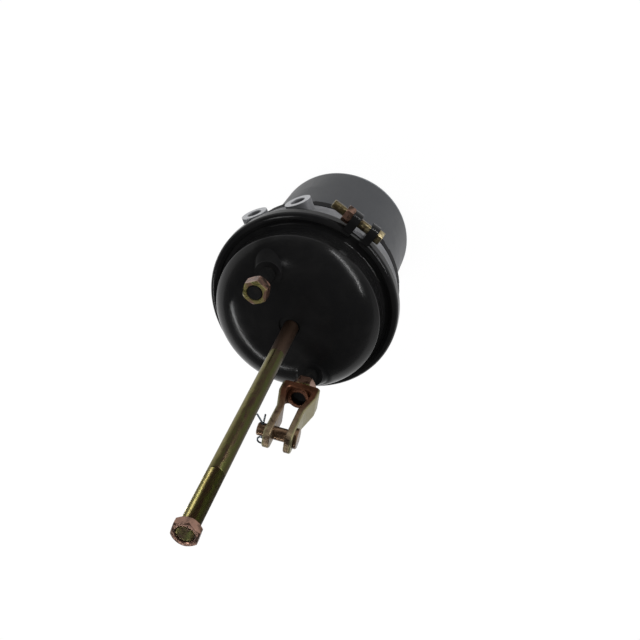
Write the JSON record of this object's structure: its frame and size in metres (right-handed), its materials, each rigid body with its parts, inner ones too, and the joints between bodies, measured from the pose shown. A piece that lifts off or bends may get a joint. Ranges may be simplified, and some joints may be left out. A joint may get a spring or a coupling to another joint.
{
  "type": "spring brake chamber",
  "caption": "Double-acting air brake chamber: stamped service bowl with long push rod and V clamp, cast flange case with two ports, cylindrical spring housing, clevis stored on one stud",
  "frame": {"origin": "centre of the service bowl's flat mounting face", "axes": "+Z out of the mounting face, along the chamber's axis and the push rod's stroke; +X towards mounting stud 1 and along the two ports"},
  "size_m": [0.209, 0.2166, 0.5574],
  "materials": {
    "gloss_black": "gloss black paint",
    "housing_grey": "satin dark grey paint",
    "ring_black": "satin black paint",
    "cast_alu": "as cast",
    "yellow_zinc": "yellow zinc plated",
    "pink_zinc": "yellow zinc plated, pinkish",
    "clevis_zinc": "yellow zinc plated",
    "plain_steel": "plain steel",
    "spring_steel": "painted spring steel",
    "rubber_black": "moulded",
    "guide_plastic": "machined"
  },
  "bodies": {
    "housing": {"service_bowl": "gloss_black", "clamp_band": "gloss_black", "mounting_stud_1": "ring_black", "mounting_stud_2": "ring_black", "stud_nut_1": "pink_zinc", "stud_nut_2": "pink_zinc", "return_spring": "spring_steel", "service_diaphragm": "rubber_black", "clamp_bolt": "yellow_zinc", "clamp_nut": "pink_zinc", "flange_case": "cast_alu", "tube_seal": "rubber_black", "housing_o_ring": "rubber_black", "lock_ring": "ring_black", "spring_housing": "housing_grey", "power_spring": "spring_steel", "release_nut": "plain_steel", "clevis": "clevis_zinc"},
    "rod": {"push_rod": "yellow_zinc", "push_plate": "yellow_zinc", "push_rod_nut": "pink_zinc"},
    "piston": {"power_piston": "cast_alu", "piston_seal": "rubber_black", "piston_guide_ring": "guide_plastic", "piston_tube": "plain_steel", "contact_pad": "guide_plastic"},
    "release": {"release_bolt": "yellow_zinc"},
    "pin": {"clevis_pin": "clevis_zinc", "split_pin": "plain_steel"}
  },
  "joints": [
    {"name": "push_rod_slide", "type": "slide", "parent": "housing", "child": "rod", "axis": [-0.0332, -0.0059, 0.9994], "range_m": [0, 0.064], "deforming": ["return_spring", "service_diaphragm"]},
    {"name": "power_piston_slide", "type": "slide", "parent": "housing", "child": "piston", "axis": [0, 0, 1], "range_m": [0, 0.064], "deforming": ["power_spring"]},
    {"name": "release_bolt_turn", "type": "hinge", "parent": "housing", "child": "release", "pos_m": [0, 0, -0.232], "axis": [0, 0, 1], "continuous": true},
    {"name": "clevis_pin_turn", "type": "hinge", "parent": "housing", "child": "pin", "pos_m": [-0.06032, 0, 0.11], "axis": [0.4924, 0.8704, 0], "continuous": true}
  ],
  "couplings": [
    {"joint": "power_piston_slide", "follows": "push_rod_slide", "ratio": 1}
  ]
}
